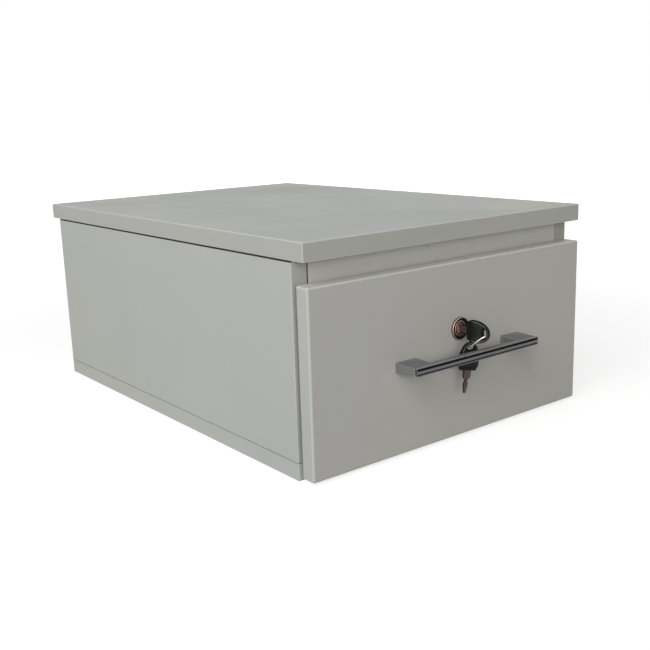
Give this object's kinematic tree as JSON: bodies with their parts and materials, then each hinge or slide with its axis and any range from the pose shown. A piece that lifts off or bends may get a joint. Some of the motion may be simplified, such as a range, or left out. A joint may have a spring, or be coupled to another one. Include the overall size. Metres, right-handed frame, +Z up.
{
  "type": "under desk drawer safe",
  "caption": "Low lockable drawer unit for under a desk: an overhanging top on a board cabinet, one drawer on telescopic slides, a bar handle, and a key lock with a spare key on a wire loop.",
  "frame": {"origin": "centre of the base panel's underside", "axes": "+X to the right as seen from the front, +Y to the back (the drawer opens along -Y), +Z up"},
  "size_m": [0.4, 0.6185, 0.235],
  "materials": {
    "board": "satin grey melamine on particle board",
    "drawer_board": "light grey melamine on particle board",
    "beech": "plain beech",
    "zinc_steel": "bright zinc plate",
    "ball_steel": "polished steel",
    "satin_nickel": "satin grey metal",
    "chrome": "polished chrome",
    "dark_chrome": "polished smoked chrome",
    "bronze": "brown nickel plate",
    "cast_zinc": "plain die-cast zinc",
    "key_steel": "worn nickel plate",
    "black_plastic": "moulded black plastic"
  },
  "bodies": {
    "cabinet": {"top_panel": "board", "side_panel_left": "board", "side_panel_right": "board", "base_panel": "board", "back_panel": "board", "front_rail": "board", "strike_plate": "zinc_steel", "strike_screw_left": "zinc_steel", "strike_screw_right": "zinc_steel", "top_dowel_left_front": "beech", "top_dowel_left_back": "beech", "top_dowel_right_front": "beech", "top_dowel_right_back": "beech", "base_screw_left_front": "zinc_steel", "base_screw_left_back": "zinc_steel", "base_screw_right_front": "zinc_steel", "base_screw_right_back": "zinc_steel", "cabinet_rail_left": "zinc_steel", "cabinet_rail_right": "zinc_steel", "cabinet_rail_screw_left_front": "zinc_steel", "cabinet_rail_screw_left_back": "zinc_steel", "cabinet_rail_screw_right_front": "zinc_steel", "cabinet_rail_screw_right_back": "zinc_steel"},
    "drawer": {"drawer_front": "board", "drawer_side_left": "drawer_board", "drawer_side_right": "drawer_board", "drawer_back": "drawer_board", "drawer_bottom": "drawer_board", "cam_bolt_left": "zinc_steel", "cam_bolt_right": "zinc_steel", "cam_disc_left": "cast_zinc", "cam_disc_right": "cast_zinc", "drawer_rail_left": "zinc_steel", "drawer_rail_right": "zinc_steel", "drawer_rail_screw_left_front": "zinc_steel", "drawer_rail_screw_left_back": "zinc_steel", "drawer_rail_screw_right_front": "zinc_steel", "drawer_rail_screw_right_back": "zinc_steel", "handle_grip": "satin_nickel", "handle_trim": "dark_chrome", "handle_screw_left": "zinc_steel", "handle_screw_right": "zinc_steel", "lock_barrel": "cast_zinc", "lock_cover": "zinc_steel", "lock_rosette": "bronze", "lock_screw_left": "zinc_steel", "lock_screw_right": "zinc_steel"},
    "mid_rail_left": {"mid_rail_left": "zinc_steel"},
    "outer_cage_left": {"outer_ball_cage_left": "ball_steel"},
    "inner_cage_left": {"inner_ball_cage_left": "ball_steel"},
    "mid_rail_right": {"mid_rail_right": "zinc_steel"},
    "outer_cage_right": {"outer_ball_cage_right": "ball_steel"},
    "inner_cage_right": {"inner_ball_cage_right": "ball_steel"},
    "key": {"lock_plug": "bronze", "key_blade": "key_steel", "key_bow": "black_plastic"},
    "bolt": {"lock_bolt": "cast_zinc"},
    "ring": {"key_ring": "chrome"},
    "spare_key": {"spare_key_blade": "key_steel", "spare_key_bow": "black_plastic"}
  },
  "joints": [
    {"name": "drawer_slide", "type": "slide", "parent": "cabinet", "child": "drawer", "axis": [0, -1, 0], "range_m": [0, 0.5]},
    {"name": "mid_rail_slide_left", "type": "slide", "parent": "cabinet", "child": "mid_rail_left", "axis": [0, -1, 0], "range_m": [0, 0.25]},
    {"name": "outer_cage_slide_left", "type": "slide", "parent": "cabinet", "child": "outer_cage_left", "axis": [0, -1, 0], "range_m": [0, 0.125]},
    {"name": "inner_cage_slide_left", "type": "slide", "parent": "cabinet", "child": "inner_cage_left", "axis": [0, -1, 0], "range_m": [0, 0.375]},
    {"name": "mid_rail_slide_right", "type": "slide", "parent": "cabinet", "child": "mid_rail_right", "axis": [0, -1, 0], "range_m": [0, 0.25]},
    {"name": "outer_cage_slide_right", "type": "slide", "parent": "cabinet", "child": "outer_cage_right", "axis": [0, -1, 0], "range_m": [0, 0.125]},
    {"name": "inner_cage_slide_right", "type": "slide", "parent": "cabinet", "child": "inner_cage_right", "axis": [0, -1, 0], "range_m": [0, 0.375]},
    {"name": "key_turn", "type": "hinge", "parent": "drawer", "child": "key", "pos_m": [0, -0.2885, 0.122], "axis": [0, 1, 0], "range_deg": [0, 90]},
    {"name": "bolt_lift", "type": "slide", "parent": "drawer", "child": "bolt", "axis": [0, 0, 1], "range_m": [0, 0.007]},
    {"name": "ring_swing", "type": "hinge", "parent": "key", "child": "ring", "pos_m": [0, -0.3255, 0.1194], "axis": [0, 0, 1], "range_deg": [-3, 1]},
    {"name": "spare_key_hang", "type": "hinge", "parent": "ring", "child": "spare_key", "pos_m": [0, -0.30149, 0.10642], "axis": [0, 1, 0], "range_deg": [-18, 0]}
  ],
  "couplings": [
    {"joint": "mid_rail_slide_left", "follows": "drawer_slide", "ratio": 0.5},
    {"joint": "outer_cage_slide_left", "follows": "drawer_slide", "ratio": 0.25},
    {"joint": "inner_cage_slide_left", "follows": "drawer_slide", "ratio": 0.75},
    {"joint": "mid_rail_slide_right", "follows": "drawer_slide", "ratio": 0.5},
    {"joint": "outer_cage_slide_right", "follows": "drawer_slide", "ratio": 0.25},
    {"joint": "inner_cage_slide_right", "follows": "drawer_slide", "ratio": 0.75},
    {"joint": "key_turn", "follows": "bolt_lift", "rad_per_m": 224.4},
    {"joint": "spare_key_hang", "follows": "bolt_lift", "rad_per_m": -44.88}
  ]
}
